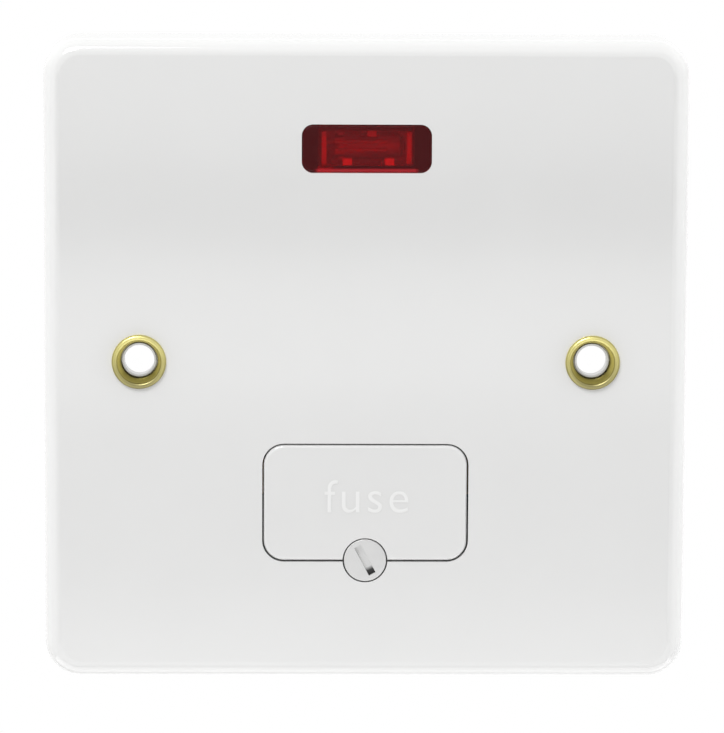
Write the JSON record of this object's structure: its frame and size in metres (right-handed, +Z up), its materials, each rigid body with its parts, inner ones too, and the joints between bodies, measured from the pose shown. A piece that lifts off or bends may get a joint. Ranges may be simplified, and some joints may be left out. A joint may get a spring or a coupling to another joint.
{
  "type": "fused spur unit",
  "caption": "Square white wall plate with a red neon lens, a pull-out fuse drawer held by a captive screw, brass fixing eyelets and wire terminals behind.",
  "frame": {"origin": "centre of the plate's back rim, in the wall plane, midway between the fixing holes", "axes": "+Y into the wall, so the front faces -Y; +X to the right seen from the front; +Z up"},
  "size_m": [0.086, 0.0286, 0.086],
  "materials": {
    "white_plastic": "glossy white moulded thermoset",
    "eyelet_brass": "polished pale brass",
    "plated_steel": "zinc-plated pressed steel",
    "red_lens": "clear red plastic",
    "dark_plastic": "dark grey moulded plastic",
    "pale_plastic": "natural nylon",
    "lamp_glass": "clear glass",
    "lamp_metal": "nickel wire",
    "resistor_body": "tan lacquered body",
    "sleeved_wire": "dark sleeving",
    "fuse_ceramic": "white ceramic",
    "nickel_plate": "nickel-plated brass cap",
    "screw_steel": "bright zinc-plated steel",
    "terminal_brass": "machined brass",
    "clip_bronze": "spring bronze strip"
  },
  "bodies": {
    "unit": {"front_plate": "white_plastic", "eyelet_left": "eyelet_brass", "eyelet_right": "eyelet_brass", "earth_strap": "plated_steel", "neon_lens": "red_lens", "lamp_holder": "pale_plastic", "neon_glass": "lamp_glass", "neon_electrodes": "lamp_metal", "dropper_resistor": "resistor_body", "neon_lead_live": "sleeved_wire", "neon_lead_load": "sleeved_wire", "neon_lead_neutral": "sleeved_wire", "threaded_insert": "terminal_brass", "feed_contact_clip": "clip_bronze", "load_contact_clip": "clip_bronze", "feed_live_terminal": "terminal_brass", "load_live_terminal": "terminal_brass", "earth_terminal": "terminal_brass", "neutral_terminal": "terminal_brass", "rear_housing": "dark_plastic", "housing_screws": "screw_steel"},
    "drawer": {"fuse_carrier": "white_plastic", "fuse_tube": "fuse_ceramic", "fuse_end_cap_left": "nickel_plate", "fuse_end_cap_right": "nickel_plate"},
    "drawer_washer": {"captive_washer": "screw_steel"},
    "drawer_screw": {"carrier_screw": "screw_steel"},
    "feed_clamp": {"feed_live_screw": "screw_steel"},
    "load_clamp": {"load_live_screw": "screw_steel"},
    "earth_left_clamp": {"earth_left_screw": "screw_steel"},
    "earth_right_clamp": {"earth_right_screw": "screw_steel"},
    "neutral_left_clamp": {"neutral_left_screw": "screw_steel"},
    "neutral_right_clamp": {"neutral_right_screw": "screw_steel"}
  },
  "joints": [
    {"name": "drawer_pull", "type": "slide", "parent": "unit", "child": "drawer", "axis": [0, -1, 0], "range_m": [0, 0.018]},
    {"name": "screw_lift", "type": "slide", "parent": "drawer", "child": "drawer_washer", "axis": [0, -1, 0], "range_m": [0, 0.0027]},
    {"name": "screw_turn", "type": "hinge", "parent": "drawer_washer", "child": "drawer_screw", "pos_m": [0, -0.00864, -0.02678], "axis": [0, -1, 0], "range_deg": [0, 1627]},
    {"name": "feed_clamp_in", "type": "slide", "parent": "unit", "child": "feed_clamp", "axis": [0, -1, 0], "range_m": [0, 0.0032]},
    {"name": "load_clamp_in", "type": "slide", "parent": "unit", "child": "load_clamp", "axis": [0, -1, 0], "range_m": [0, 0.0032]},
    {"name": "earth_left_clamp_in", "type": "slide", "parent": "unit", "child": "earth_left_clamp", "axis": [0, -1, 0], "range_m": [0, 0.0032]},
    {"name": "earth_right_clamp_in", "type": "slide", "parent": "unit", "child": "earth_right_clamp", "axis": [0, -1, 0], "range_m": [0, 0.0032]},
    {"name": "neutral_left_clamp_in", "type": "slide", "parent": "unit", "child": "neutral_left_clamp", "axis": [0, -1, 0], "range_m": [0, 0.0032]},
    {"name": "neutral_right_clamp_in", "type": "slide", "parent": "unit", "child": "neutral_right_clamp", "axis": [0, -1, 0], "range_m": [0, 0.0032]}
  ],
  "couplings": [
    {"joint": "screw_turn", "follows": "screw_lift", "rad_per_m": 10472}
  ]
}
